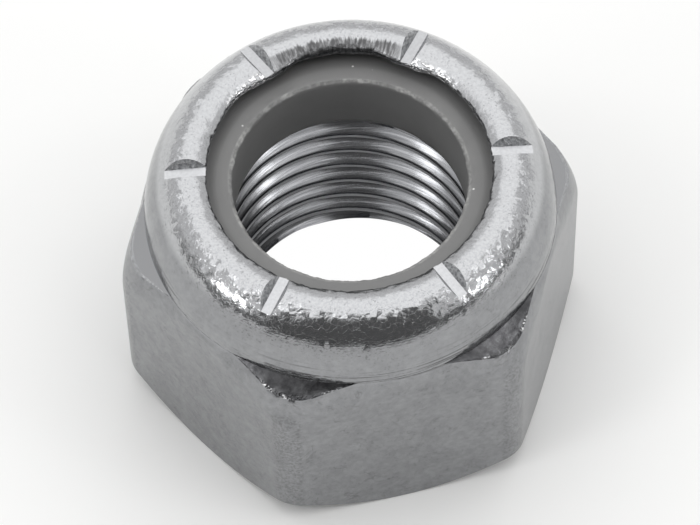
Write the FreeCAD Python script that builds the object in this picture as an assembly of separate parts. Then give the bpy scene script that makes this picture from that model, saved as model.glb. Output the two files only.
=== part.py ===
import FreeCAD, Part
import math
import os

# Nylon insert lock nut for a 1/2-20 thread: a cold formed steel body with a hexagon, a round
# collar rolled over at the top, and a nylon ring trapped under the collar's lip.
# The origin is the middle of the bearing face, +Z runs up the thread's axis to the nylon end,
# and a corner of the hexagon lies on +X. Lengths are in millimetres, angles in degrees.

# Hexagon
across_flats = 19.05
corner_radius = 1.3                 # rounding of the six upright corners
bearing_inset = 0.05                # the bearing circle lies this far inside the flats
bearing_chamfer_angle = 45.0        # from the bearing face
shoulder_angle = 33.0               # from the bearing face
shoulder_roll_radius = 1.0          # soft edge between the shoulder cone and the flats

# Collar, rolled inwards over the nylon ring
nut_height = 14.05
collar_height = 3.44                # from the shoulder, where the roll starts, to the crown's top
collar_inset = 0.1                  # step from a flat's middle to the collar's wall
collar_wall = 1.2
crown_inset = 2.125                 # from the collar's wall in to the crown's highest line
crown_radius = 1.25                 # rounding of the crown across that line
crown_end_angle = 126.0             # where that rounding ends above the lip, 90 being the top
lip_edge_radius = 0.3

# Thread, drawn as its minor cylinder with a cone at each end
thread_major_diameter = 12.7
thread_depth = 0.62
countersink_widening = 0.2          # beyond the major diameter, on the radius
countersink_half_angle = 60.0       # from the axis
lead_out_half_angle = 45.0          # of the cone from the thread up to the ring's seat

# Nylon ring
insert_height = 3.35
insert_bite = 0.38                  # the ring's bore stands this far inside the thread's crests
insert_shoulder = 0.85              # its side leans in by this under the rolled collar
insert_side_clearance = 0.04
insert_edge_bevel = 0.15

# Radial marks struck into the crown, at the azimuths where the dies left them
mark_azimuths = (-6.5, 51.9, 111.3, 166.8, 229.5, 293.0)
mark_width = 0.5
mark_depth = 0.68                   # below the crown's highest line
mark_fall = 7.0                     # the mark's floor falls outwards by this angle

# Sizes that follow from those above
flat_radius = across_flats / 2
corner_reach = flat_radius / math.cos(math.pi / 6)
bearing_radius = flat_radius - bearing_inset
hexagon_height = nut_height - collar_height
collar_radius = flat_radius - collar_inset
crown_centre = (collar_radius - crown_inset, nut_height - crown_radius)
major_radius = thread_major_diameter / 2
minor_radius = major_radius - thread_depth
countersink_radius = major_radius + countersink_widening
countersink_depth = (countersink_radius - minor_radius) / math.tan(math.radians(countersink_half_angle))
insert_top = nut_height - collar_wall
insert_floor = insert_top - insert_height
thread_top = insert_floor - thread_depth / math.tan(math.radians(lead_out_half_angle))
pocket_radius = collar_radius - collar_wall
insert_bore_radius = minor_radius - insert_bite

# How the shapes are cut and told apart
envelope_margin = 0.5               # the hexagon's turned envelope clears the sharp corners by this
same_height = 0.01                  # an edge whose middle is this near to the cone lies on it


def place(radius, height):
    """A point of a section, which is drawn in the XZ plane."""
    return FreeCAD.Vector(radius, 0, height)


def line(start, end):
    return Part.LineSegment(place(*start), place(*end)).toShape()


def on_circle(centre, radius, angle):
    return (centre[0] + radius * math.cos(angle), centre[1] + radius * math.sin(angle))


def arc(centre, radius, first, last):
    points = [on_circle(centre, radius, angle) for angle in (first, (first + last) / 2, last)]
    return Part.Arc(*[place(*point) for point in points]).toShape()


def polyline(points):
    return [line(start, end) for start, end in zip(points, points[1:])]


def turned(edges):
    """The solid that a closed section makes when it is revolved about the nut's axis."""
    section = Part.Face(Part.Wire(edges))
    return section.revolve(FreeCAD.Vector(0, 0, 0), FreeCAD.Vector(0, 0, 1), 360)


def collar_roll():
    """Centre, radius and end angle of the collar's outer roll, tangent to its wall and its crown."""
    up = crown_centre[1] - hexagon_height
    radius = (crown_inset ** 2 + up ** 2 - crown_radius ** 2) / (2 * (crown_inset - crown_radius))
    centre = (collar_radius - radius, hexagon_height)
    return centre, radius, math.atan2(up, crown_centre[0] - centre[0])


def pocket_side(gap):
    """The pocket's side from its floor to the lip's underside, moved inwards by a gap."""
    radius = pocket_radius - gap
    return [(radius, insert_floor), (radius, hexagon_height), (radius - insert_shoulder, insert_top)]


def metal_core():
    """The round part of the nut: thread wall, pocket, lip, crown and collar wall in one section."""
    crown_end = math.radians(crown_end_angle)
    lip_centre = on_circle(crown_centre, crown_radius - lip_edge_radius, crown_end)
    lip_radius = lip_centre[0] - lip_edge_radius
    roll_centre, roll_radius, roll_end = collar_roll()
    inside = polyline([
        (collar_radius, hexagon_height),
        (collar_radius, 0),
        (countersink_radius, 0),
        (minor_radius, countersink_depth),
        (minor_radius, thread_top),
        (major_radius, insert_floor),
        *pocket_side(0),
        (lip_radius, insert_top),
        (lip_radius, lip_centre[1]),
    ])
    crown = [
        arc(lip_centre, lip_edge_radius, math.pi, crown_end),
        arc(crown_centre, crown_radius, crown_end, roll_end),
        arc(roll_centre, roll_radius, roll_end, 0),
    ]
    return turned(inside + crown)


def shoulder_height(radius):
    return hexagon_height - (radius - collar_radius) * math.tan(math.radians(shoulder_angle))


def middle_of(edge):
    return edge.valueAt((edge.FirstParameter + edge.LastParameter) / 2)


def is_shoulder_edge(edge):
    """True where the shoulder cone meets the flats and the upright corners."""
    middle = middle_of(edge)
    radius = math.hypot(middle.x, middle.y)
    return radius > collar_radius and abs(middle.z - shoulder_height(radius)) < same_height


def hexagon_bar():
    """A hexagonal bar with rounded upright corners, one of them on +X."""
    corners = []
    for corner in range(6):
        angle = corner * math.pi / 3
        corners.append(FreeCAD.Vector(math.cos(angle), math.sin(angle), 0) * corner_reach)
    outline = Part.makePolygon(corners + corners[:1])
    bar = Part.Face(outline).extrude(FreeCAD.Vector(0, 0, nut_height))
    upright = [edge for edge in bar.Edges if abs(edge.tangentAt(edge.FirstParameter).z) > 0.5]
    return bar.makeFillet(corner_radius, upright)


def hexagon_skirt():
    """The hexagon around the core: bearing chamfer, shoulder cone and its rolled edge."""
    inside = collar_radius - collar_wall / 2
    outside = corner_reach + envelope_margin
    chamfer_rise = (outside - bearing_radius) * math.tan(math.radians(bearing_chamfer_angle))
    envelope = turned(polyline([
        (inside, 0),
        (bearing_radius, 0),
        (outside, chamfer_rise),
        (outside, shoulder_height(outside)),
        (inside, shoulder_height(inside)),
        (inside, 0),
    ]))
    sharp = hexagon_bar().common(envelope)
    shoulder = [edge for edge in sharp.Edges if is_shoulder_edge(edge)]
    return sharp.makeFillet(shoulder_roll_radius, shoulder)


def mark_blade(azimuth):
    """The blade that strikes one mark: it spans the crown, and its edge falls outwards."""
    inner = crown_centre[0] - crown_inset
    outer = crown_centre[0] + crown_inset
    edge_height = nut_height - mark_depth
    fall = crown_inset * math.tan(math.radians(mark_fall))
    side = Part.Wire(polyline([
        (inner, edge_height + fall),
        (outer, edge_height - fall),
        (outer, nut_height + mark_depth),
        (inner, nut_height + mark_depth),
        (inner, edge_height + fall),
    ]))
    blade = Part.Face(side).extrude(FreeCAD.Vector(0, mark_width, 0))
    blade.translate(FreeCAD.Vector(0, -mark_width / 2, 0))
    blade.rotate(FreeCAD.Vector(0, 0, 0), FreeCAD.Vector(0, 0, 1), azimuth)
    return blade


def nut_body():
    """The core and the hexagon made one solid, with the marks struck into its crown."""
    metal = metal_core().fuse(hexagon_skirt()).removeSplitter()
    marked = metal.cut([mark_blade(azimuth) for azimuth in mark_azimuths])
    return marked.Solids[0]


def nylon_insert():
    """The ring fills the pocket: seated on its floor and held down by the lip's underside."""
    section = polyline([
        (insert_bore_radius + insert_edge_bevel, insert_floor),
        *pocket_side(insert_side_clearance),
        (insert_bore_radius + insert_edge_bevel, insert_top),
        (insert_bore_radius, insert_top - insert_edge_bevel),
        (insert_bore_radius, insert_floor + insert_edge_bevel),
        (insert_bore_radius + insert_edge_bevel, insert_floor),
    ])
    return turned(section)


def write(name, shape):
    shape.exportStep(os.path.join("parts", name + ".step"))


os.makedirs("parts", exist_ok=True)
write("nut_body", nut_body())
write("nylon_insert", nylon_insert())
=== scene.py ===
import math

import bpy
from mathutils import Matrix, Vector


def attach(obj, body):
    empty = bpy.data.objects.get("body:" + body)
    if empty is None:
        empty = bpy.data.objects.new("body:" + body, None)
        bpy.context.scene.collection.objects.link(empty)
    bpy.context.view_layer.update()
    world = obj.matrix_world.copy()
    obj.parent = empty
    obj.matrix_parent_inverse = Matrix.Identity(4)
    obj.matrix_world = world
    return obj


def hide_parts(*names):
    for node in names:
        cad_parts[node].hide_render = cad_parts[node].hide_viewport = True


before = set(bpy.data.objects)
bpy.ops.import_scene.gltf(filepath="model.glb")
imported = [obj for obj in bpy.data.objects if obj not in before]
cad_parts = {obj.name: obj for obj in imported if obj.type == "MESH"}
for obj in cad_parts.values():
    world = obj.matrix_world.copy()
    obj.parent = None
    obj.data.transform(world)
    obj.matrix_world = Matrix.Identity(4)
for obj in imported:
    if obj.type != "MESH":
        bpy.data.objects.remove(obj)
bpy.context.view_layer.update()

bl_info = {
    "name": "Nylon Insert Lock Nut",
    "version": (1, 0, 0),
    "blender": (4, 5, 0),
    "location": "View3D > Sidebar > Lock Nut",
    "description": "Dresses the nut body and its nylon ring, and sets up the studio",
    "category": "Mesh",
}

MM = 0.001
FULL_TURN = 2 * math.pi


def colour(hex_code):
    """An sRGB hex value as a linear colour with full alpha."""
    parts = [int(hex_code[place : place + 2], 16) / 255 for place in (1, 3, 5)]
    linear = [c / 12.92 if c <= 0.04045 else ((c + 0.055) / 1.055) ** 2.4 for c in parts]
    return (*linear, 1.0)


def length(name, description, millimetres):
    return bpy.props.FloatProperty(
        name=name,
        description=description,
        default=millimetres * MM,
        min=0.0,
        precision=6,
        subtype="DISTANCE",
        unit="LENGTH",
    )


def angle(name, description, degrees):
    return bpy.props.FloatProperty(
        name=name,
        description=description,
        default=math.radians(degrees),
        subtype="ANGLE",
        unit="ROTATION",
    )


def number(name, description, value):
    return bpy.props.FloatProperty(name=name, description=description, default=value, precision=3)


def count(name, description, value):
    return bpy.props.IntProperty(name=name, description=description, default=value, min=3)


def tint(name, description, hex_code):
    return bpy.props.FloatVectorProperty(
        name=name,
        description=description,
        default=colour(hex_code),
        size=4,
        min=0.0,
        max=1.0,
        subtype="COLOR",
    )


class HexagonSizes(bpy.types.PropertyGroup):
    across_flats: length("Across Flats", "Width of the hexagon from flat to flat", 19.05)
    corner_radius: length("Corner Radius", "Rounding of the upright corners", 1.3)
    bearing_inset: length("Bearing Inset", "The bearing circle's distance inside the flats", 0.05)
    shoulder_angle: angle("Shoulder Angle", "Slope of the shoulder from the bearing face", 33.0)
    top_corner_radius: length("Top Corner Radius", "Rounding of the corners at the shoulder", 2.6)
    shoulder_roll: length("Shoulder Roll", "Setback of the shoulder's rim along the flats", 0.32)
    roll_angle: angle("Roll Angle", "Lean of the corners' tops just under the rim", 24.0)
    rim_burr: length("Rim Burr", "Height of the ragged rim of the shoulder facets", 0.04)


class CollarSizes(bpy.types.PropertyGroup):
    nut_height: length("Nut Height", "From the bearing face to the crown's highest line", 14.05)
    collar_height: length("Collar Height", "From the shoulder to the crown's highest line", 3.44)
    collar_inset: length("Collar Inset", "Step from a flat's middle to the collar's wall", 0.1)
    collar_wall: length("Collar Wall", "Thickness of the collar around the ring", 1.2)
    crown_inset: length("Crown Inset", "From the collar's wall to the crown's highest line", 2.125)
    crown_radius: length("Crown Radius", "Rounding of the crown across its highest line", 1.25)
    crown_end: angle("Crown End", "Where that rounding ends above the lip", 126.0)
    lip_edge: length("Lip Edge", "Rounding of the lip's inner edge", 0.3)
    lip_end: angle("Lip End", "Where that rounding turns into the lip's underside", 215.0)
    lip_undercut: length("Lip Undercut", "How far the underside draws back from the edge", 0.5)
    lip_bulge: length("Lip Bulge", "How far the lip bulges inwards at the marks", 0.24)
    lip_waver: length("Lip Waver", "Unevenness of the lip's inner edge", 0.15)
    crown_dents: length("Crown Dents", "Depth of the crown's unevenness", 0.035)


class ThreadSizes(bpy.types.PropertyGroup):
    major_diameter: length("Major Diameter", "Across the thread's roots", 12.7)
    depth: length("Depth", "From the crests to the roots", 0.62)
    pitch: length("Pitch", "From one turn to the next", 1.27)
    land: length("Crest Land", "Height of the flat crest", 0.3)
    softness: length("Softness", "Rounding of the crest's edges", 0.09)
    root_softness: length("Root Softness", "Depth of the flank that the round root takes up", 0.34)
    flank_angle: angle("Flank Angle", "Slope of the flanks from level", 31.0)
    crest_height: length("Crest Height", "Height of a crest's middle at the crest azimuth", 1.464)
    crest_azimuth: angle("Crest Azimuth", "Where a crest has that height", 85.45)
    countersink_widening: length("Countersink Widening", "Beyond the major radius", 0.2)
    countersink_angle: angle("Countersink Angle", "Half angle from the axis", 60.0)
    lead_out_angle: angle("Lead-out Angle", "Half angle of the cone up to the ring's seat", 45.0)


class RingSizes(bpy.types.PropertyGroup):
    height: length("Height", "Height of the nylon ring", 3.35)
    bite: length("Bite", "The bore's distance inside the thread's crests", 0.38)
    shoulder: length("Shoulder", "How far its side leans in under the collar", 0.85)
    side_clearance: length("Side Clearance", "Gap between the ring and its pocket", 0.04)
    edge_bevel: length("Edge Bevel", "Bevel of the bore's two edges", 0.15)
    droop: length("Droop", "How far the top falls away under the lip", 0.3)
    burr: length("Burr", "Unevenness of the bore's upper edge", 0.2)


class MarkSizes(bpy.types.PropertyGroup):
    width: length("Width", "Width of a mark's floor", 0.46)
    depth: length("Depth", "Below the crown's highest line", 0.44)
    fall: angle("Fall", "Slope of the floor, outwards", 7.0)
    flare: angle("Flare", "Slope of the side walls from upright", 30.0)


class Finishes(bpy.types.PropertyGroup):
    zinc: tint("Zinc", "Bright zinc plate", "#ABACAE")
    zinc_worn: tint("Worn Zinc", "Zinc plate dulled by forming", "#898A8C")
    # Painted light: a tone lighter than the plate below, standing for the overhead softbox's light on
    # the crown.
    crown: tint("Crown", "Zinc plate crumpled by the rolling dies", "#BCBDBF")
    # Also the colour of the painted shade on the lip's slope between two marks.
    pits_and_shade: tint("Pits", "Dark specks in the plate", "#5A5A5B")
    # Painted shade: the dark shown by the shoulder facets on the -Y side.
    facet: tint("Facet", "Thin dark plate on the shoulder's facets", "#454547")
    # Painted highlight: a near white for glints on the lip's edge and on the facets' rim.
    painted_glint: tint("Bead", "Bright torn edges of the plate", "#F2F2F3")
    struck: tint("Struck", "Zinc plate pressed bright in the marks", "#C4C5C7")
    thread: tint("Thread", "Thin plate in the thread", "#AEAFB2")
    thread_worn: tint("Worn Thread", "Thin plate dulled by the tap", "#88898C")
    nylon: tint("Nylon", "Grey nylon", "#747474")
    nylon_burr: tint("Nylon Burr", "Nylon torn white at an edge", "#B4B4B2")
    dust: tint("Dust", "White specks on the nylon", "#E4E4E2")
    floor: tint("Floor", "Pale studio floor", "#FAFAF9")


class Studio(bpy.types.PropertyGroup):
    camera_place: bpy.props.FloatVectorProperty(
        name="Camera Place",
        description="Where the photograph was taken from",
        default=(-22.89 * MM, -101.43 * MM, 171.23 * MM),
        subtype="TRANSLATION",
        unit="LENGTH",
    )
    camera_yaw: angle("Camera Yaw", "Turn of the view from +Y towards +X", 12.662)
    camera_pitch: angle("Camera Pitch", "Below the horizon", 57.857)
    camera_tilt: angle("Camera Tilt", "Roll about the view", -1.684)
    camera_lens: number("Camera Lens", "Focal length in millimetres on a 36 mm sensor", 215.49)
    overhead_level: number("Overhead Level", "Radiance of the overhead softbox", 0.66)
    low_level: number("Low Level", "Radiance of the two low side lamps", 9.0)
    high_level: number("High Level", "Radiance of the two high side lamps", 3.0)
    air: tint("Air", "Unlit room behind the camera", "#5C5C5C")
    walls: tint("Walls", "Pale room around the nut", "#D8D8D8")


class Fineness(bpy.types.PropertyGroup):
    segments: count("Segments", "Steps around the nut", 480)


GROUPS = {
    "lock_nut_hexagon": HexagonSizes,
    "lock_nut_collar": CollarSizes,
    "lock_nut_thread": ThreadSizes,
    "lock_nut_ring": RingSizes,
    "lock_nut_marks": MarkSizes,
    "lock_nut_finishes": Finishes,
    "lock_nut_studio": Studio,
    "lock_nut_fineness": Fineness,
}

# Azimuths in degrees where the dies left their marks in the crown.
MARK_AZIMUTHS = (-6.5, 51.9, 111.3, 166.8, 229.5, 293.0)
# The lip was pushed inwards at these two of them.
BULGED_MARKS = (51.9, 111.3)


# Nodes, for shaders and for geometry alike.


def add_node(tree, kind, links=None, **settings):
    """Adds a node. Settings are its properties; links fill its inputs with a socket or a value."""
    node = tree.nodes.new(kind)
    for name, value in settings.items():
        setattr(node, name, value)
    for place, value in (links or {}).items():
        socket = node.inputs[place]
        if isinstance(value, bpy.types.NodeSocket):
            tree.links.new(value, socket)
        else:
            socket.default_value = value
    return node.outputs


def new_geometry_tree(name, inputs):
    """A modifier's tree with a Geometry input, the named number inputs and a Geometry output."""
    tree = bpy.data.node_groups.new(name, "GeometryNodeTree")
    tree.is_modifier = True
    tree.interface.new_socket("Geometry", in_out="INPUT", socket_type="NodeSocketGeometry")
    for label, value in inputs.items():
        kind = "NodeSocketInt" if isinstance(value, int) else "NodeSocketFloat"
        tree.interface.new_socket(label, in_out="INPUT", socket_type=kind)
    tree.interface.new_socket("Geometry", in_out="OUTPUT", socket_type="NodeSocketGeometry")
    return tree, add_node(tree, "NodeGroupInput")


def finish_tree(tree, geometry, material, parts=None):
    """Realize Instances and Set Material close every tree. Faces marked as parts get their own."""
    marked = 0.8
    done = add_node(tree, "GeometryNodeRealizeInstances", {"Geometry": geometry})[0]
    done = add_node(tree, "GeometryNodeSetMaterial", {"Geometry": done, "Material": material})[0]
    for label, finish in (parts or {}).items():
        amount = add_node(
            tree, "GeometryNodeInputNamedAttribute", {"Name": label}, data_type="FLOAT"
        )[0]
        chosen = add_node(
            tree, "FunctionNodeCompare", {0: amount, 1: marked}, operation="GREATER_THAN"
        )[0]
        done = add_node(
            tree, "GeometryNodeSetMaterial", {"Geometry": done, "Selection": chosen, "Material": finish}
        )[0]
    add_node(tree, "NodeGroupOutput", {"Geometry": done})


def grown(mesh, name, tree, inputs):
    """The plain mesh object that a tree grows from a base mesh."""
    base = bpy.data.objects.new(name + "_base", mesh)
    bpy.context.scene.collection.objects.link(base)
    modifier = base.modifiers.new("Grow", "NODES")
    modifier.node_group = tree
    for item in tree.interface.items_tree:
        if item.in_out == "INPUT" and item.name in inputs:
            modifier[item.identifier] = inputs[item.name]
    depsgraph = bpy.context.evaluated_depsgraph_get()
    made = bpy.data.meshes.new_from_object(base.evaluated_get(depsgraph), depsgraph=depsgraph)
    base.modifiers.remove(modifier)
    bpy.data.objects.remove(base)
    if not made.polygons:
        raise RuntimeError(name + " came out empty")
    # The swept mesh starts with an empty slot, which no face uses.
    if made.materials[0] is None:
        made.materials.pop(index=0)
    piece = bpy.data.objects.new(name, made)
    bpy.context.scene.collection.objects.link(piece)
    return piece


# The nut's section, drawn in the XZ plane.


def arc_points(centre, radius, first, last, steps):
    """Points on an arc, its first end left out."""
    angles = [first + (last - first) * step / steps for step in range(1, steps + 1)]
    return [(centre[0] + radius * math.cos(a), centre[1] + radius * math.sin(a)) for a in angles]


def run_points(start, end, steps):
    """Points on a straight run, its start left out."""
    shares = [step / steps for step in range(1, steps + 1)]
    return [tuple(a + (b - a) * share for a, b in zip(start, end)) for share in shares]


def bend_points(start, corner, end, steps):
    """Points on the bend that rounds a corner off, both ends kept."""
    points = []
    for step in range(steps + 1):
        t = step / steps
        weights = ((1 - t) ** 2, 2 * t * (1 - t), t * t)
        points.append(
            tuple(sum(w * p[axis] for w, p in zip(weights, (start, corner, end))) for axis in (0, 1))
        )
    return points


def body_lines(context):
    """The section's named corners and arcs, worked out from the sizes."""
    scene = context.scene
    hexagon, collar, thread, ring = (
        scene.lock_nut_hexagon,
        scene.lock_nut_collar,
        scene.lock_nut_thread,
        scene.lock_nut_ring,
    )
    flat_radius = hexagon.across_flats / 2
    hexagon_height = collar.nut_height - collar.collar_height
    collar_radius = flat_radius - collar.collar_inset
    crown_centre = (collar_radius - collar.crown_inset, collar.nut_height - collar.crown_radius)
    up = crown_centre[1] - hexagon_height
    roll_radius = (collar.crown_inset**2 + up**2 - collar.crown_radius**2) / (
        2 * (collar.crown_inset - collar.crown_radius)
    )
    roll_centre = (collar_radius - roll_radius, hexagon_height)
    major_radius = thread.major_diameter / 2
    minor_radius = major_radius - thread.depth
    countersink_radius = major_radius + thread.countersink_widening
    ring_top = collar.nut_height - collar.collar_wall
    ring_floor = ring_top - ring.height
    reach = collar.crown_radius - collar.lip_edge
    return {
        "flat_radius": flat_radius,
        "bearing_radius": flat_radius - hexagon.bearing_inset,
        "hexagon_height": hexagon_height,
        "collar_radius": collar_radius,
        "crown_centre": crown_centre,
        "roll_centre": roll_centre,
        "roll_radius": roll_radius,
        "roll_end": math.atan2(up, crown_centre[0] - roll_centre[0]),
        "lip_centre": (
            crown_centre[0] + reach * math.cos(collar.crown_end),
            crown_centre[1] + reach * math.sin(collar.crown_end),
        ),
        "lip_face": crown_centre[0] + reach * math.cos(collar.crown_end) - collar.lip_edge,
        "major_radius": major_radius,
        "minor_radius": minor_radius,
        "countersink_radius": countersink_radius,
        "ring_top": ring_top,
        "ring_floor": ring_floor,
        "pocket_radius": collar_radius - collar.collar_wall,
        "ring_shoulder": ring.shoulder,
        "ring_bore": minor_radius - ring.bite,
    }


GUIDES = ("chamfer_edge", "flat_top", "shoulder_edge", "rim_edge")
BANDS = ("crown", "lip", "rim", "thread", "facet")


def thread_rows(at, thread):
    """Rows of the thread from the ring's seat down, as they lie at azimuth 0.

    A row follows the helix, so it keeps its place on the thread's profile all the way round.
    """
    # Half a turn from the crest to the root's middle, as height and depth: both are rounded.
    edge, slope = thread.land / 2, math.tan(thread.flank_angle)
    soft, round_root = thread.softness, thread.root_softness
    foot = edge + thread.depth * slope
    crest_round = ((edge - soft, 0.0), (edge, 0.0), (edge + soft * slope, soft))
    root_round = (
        (foot - round_root * slope, thread.depth - round_root),
        (foot, thread.depth),
        (thread.pitch / 2, thread.depth),
    )
    half = [*bend_points(*crest_round, 2), *bend_points(*root_round, 3)]
    profile = [(up, deep) for up, deep in reversed(half)] + [(-up, deep) for up, deep in half[:-1]]
    crest = thread.crest_height - thread.pitch * thread.crest_azimuth / FULL_TURN
    rows = []
    # These are more turns than fit: what lies outside the bore is left out.
    for turn in range(9, -4, -1):
        for up, deep in profile:
            height = crest + turn * thread.pitch + up
            if -thread.pitch < height < at["ring_floor"]:
                rows.append({"place": (at["minor_radius"] + deep, height), "thread": 1.0})
    return rows


def body_section(context):
    """Rows of the body's closed section. A row has a place and its pull to each guide and band.

    The guides are points that the hexagon moves as it goes round, so a skirt row's own place
    holds only what its guides leave over.
    """
    at = body_lines(context)
    collar = context.scene.lock_nut_collar
    rows = []

    def skirt(place, share, **pulls):
        rows.append({"place": (place[0] * share, place[1] * share), **pulls})

    def turned(points, **bands):
        rows.extend({"place": point, **bands} for point in points)

    bearing = (at["bearing_radius"], 0.0)
    collar_foot = (at["collar_radius"], at["hexagon_height"])
    skirt(bearing, 1.0)
    for step in (1, 2, 3):
        skirt(bearing, 1 - step / 3, chamfer_edge=step / 3)
    for step in range(1, 5):
        skirt((0, 0), 0.0, chamfer_edge=1 - step / 4, flat_top=step / 4)
    for step in range(1, 11):
        t = step / 10
        skirt((0, 0), 0.0, flat_top=(1 - t) ** 2, shoulder_edge=2 * t * (1 - t), rim_edge=t * t)
    rows[-1].update(rim=1.0, facet=1.0)
    rows[-2]["rim"] = 0.3
    for share, rim in ((0.06, 0.7), (0.14, 0.45), (0.3, 0), (0.5, 0), (0.7, 0), (0.88, 0), (1, 0)):
        skirt(collar_foot, share, rim_edge=1 - share, rim=rim, facet=1.0)
    roll = arc_points(at["roll_centre"], at["roll_radius"], 0.0, at["roll_end"], 16)
    for step, point in enumerate(roll, 1):
        turned([point], crown=min(1.0, step / 16))
    turned(
        arc_points(at["crown_centre"], collar.crown_radius, at["roll_end"], collar.crown_end, 28),
        crown=1.0,
    )
    for step, row in enumerate(rows[-12:], 1):
        row["lip"] = (step / 12) ** 2
    edge = arc_points(at["lip_centre"], collar.lip_edge, collar.crown_end, collar.lip_end, 9)
    turned(edge, crown=0.6, lip=1.0)
    # The lip's underside draws back from its edge and meets the ring out of sight.
    lip_foot = (at["lip_face"] + collar.lip_undercut, at["ring_top"] + 0.01 * MM)
    turned(run_points(edge[-1], lip_foot, 4), lip=0.85)
    pocket_top = (at["pocket_radius"] - at["ring_shoulder"], at["ring_top"])
    turned(run_points(lip_foot, pocket_top, 3)[:-1], lip=0.4)
    pocket_side = (at["pocket_radius"], at["hexagon_height"])
    pocket_floor = (at["pocket_radius"], at["ring_floor"])
    seat = (at["major_radius"], at["ring_floor"])
    turned([pocket_top])
    turned(run_points(pocket_top, pocket_side, 2))
    turned(run_points(pocket_side, pocket_floor, 1))
    turned(run_points(pocket_floor, seat, 2))
    mouth = (at["countersink_radius"], 0.0)
    rows.extend(thread_rows(at, context.scene.lock_nut_thread))
    turned([mouth])
    turned(run_points(mouth, bearing, 3)[:-1])
    return rows


def section_mesh(name, rows, names, places=()):
    """A loop of edges through the rows, their pulls as attributes, and loose points beside it."""
    mesh = bpy.data.meshes.new(name)
    points = [(row["place"][0], 0.0, row["place"][1]) for row in rows]
    total = len(points)
    edges = [(index, (index + 1) % total) for index in range(total)]
    mesh.from_pydata(points + list(places), edges, [])
    for label in names:
        layer = mesh.attributes.new(label, "FLOAT", "POINT")
        values = [row.get(label, 0.0) for row in rows] + [0.0] * len(places)
        layer.data.foreach_set("value", values)
    loose = mesh.attributes.new("place", "BOOLEAN", "POINT")
    loose.data.foreach_set("value", [False] * total + [True] * len(places))
    return mesh


def turn_tree(tree, section, segments, rows, pulls):
    """Nodes that sweep a section's rows around the axis. They give the grid and its fields."""
    across = add_node(tree, "ShaderNodeMath", {0: segments, 1: 1.0}, operation="ADD")[0]
    along = add_node(tree, "ShaderNodeMath", {0: rows, 1: 1.0}, operation="ADD")[0]
    grid = add_node(tree, "GeometryNodeMeshGrid", {"Vertices X": across, "Vertices Y": along})[0]
    index = add_node(tree, "GeometryNodeInputIndex")[0]
    ratio = add_node(tree, "ShaderNodeMath", {0: index, 1: along}, operation="DIVIDE")[0]
    # A hair is added before rounding down, so that a whole number stays itself.
    hair = 0.0005
    safe = add_node(tree, "ShaderNodeMath", {0: ratio, 1: hair}, operation="ADD")[0]
    column = add_node(tree, "ShaderNodeMath", {0: safe}, operation="FLOOR")[0]
    before = add_node(tree, "ShaderNodeMath", {0: column, 1: along}, operation="MULTIPLY")[0]
    step = add_node(tree, "ShaderNodeMath", {0: index, 1: before}, operation="SUBTRACT")[0]
    row = add_node(tree, "ShaderNodeMath", {0: step, 1: rows}, operation="MODULO")[0]
    place = add_node(tree, "GeometryNodeInputPosition")[0]
    sampled = add_node(
        tree,
        "GeometryNodeSampleIndex",
        {"Geometry": section, "Value": place, "Index": row},
        data_type="FLOAT_VECTOR",
    )[0]
    fields = {}
    for label in pulls:
        named = add_node(tree, "GeometryNodeInputNamedAttribute", {"Name": label}, data_type="FLOAT")
        fields[label] = add_node(
            tree,
            "GeometryNodeSampleIndex",
            {"Geometry": section, "Value": named[0], "Index": row},
            data_type="FLOAT",
        )[0]
    turn = add_node(tree, "ShaderNodeMath", {0: column, 1: segments}, operation="DIVIDE")[0]
    azimuth = add_node(tree, "ShaderNodeMath", {0: turn, 1: FULL_TURN}, operation="MULTIPLY")[0]
    return grid, sampled, azimuth, fields


def swept(tree, grid, place, azimuth):
    """The grid wrapped round the axis, its seams merged."""
    seam = 1e-7
    turned = add_node(
        tree,
        "ShaderNodeVectorRotate",
        {"Vector": place, "Angle": azimuth, "Axis": (0.0, 0.0, 1.0)},
        rotation_type="AXIS_ANGLE",
    )[0]
    wrapped = add_node(tree, "GeometryNodeSetPosition", {"Geometry": grid, "Position": turned})[0]
    return add_node(tree, "GeometryNodeMergeByDistance", {"Geometry": wrapped, "Distance": seam})[0]


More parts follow.
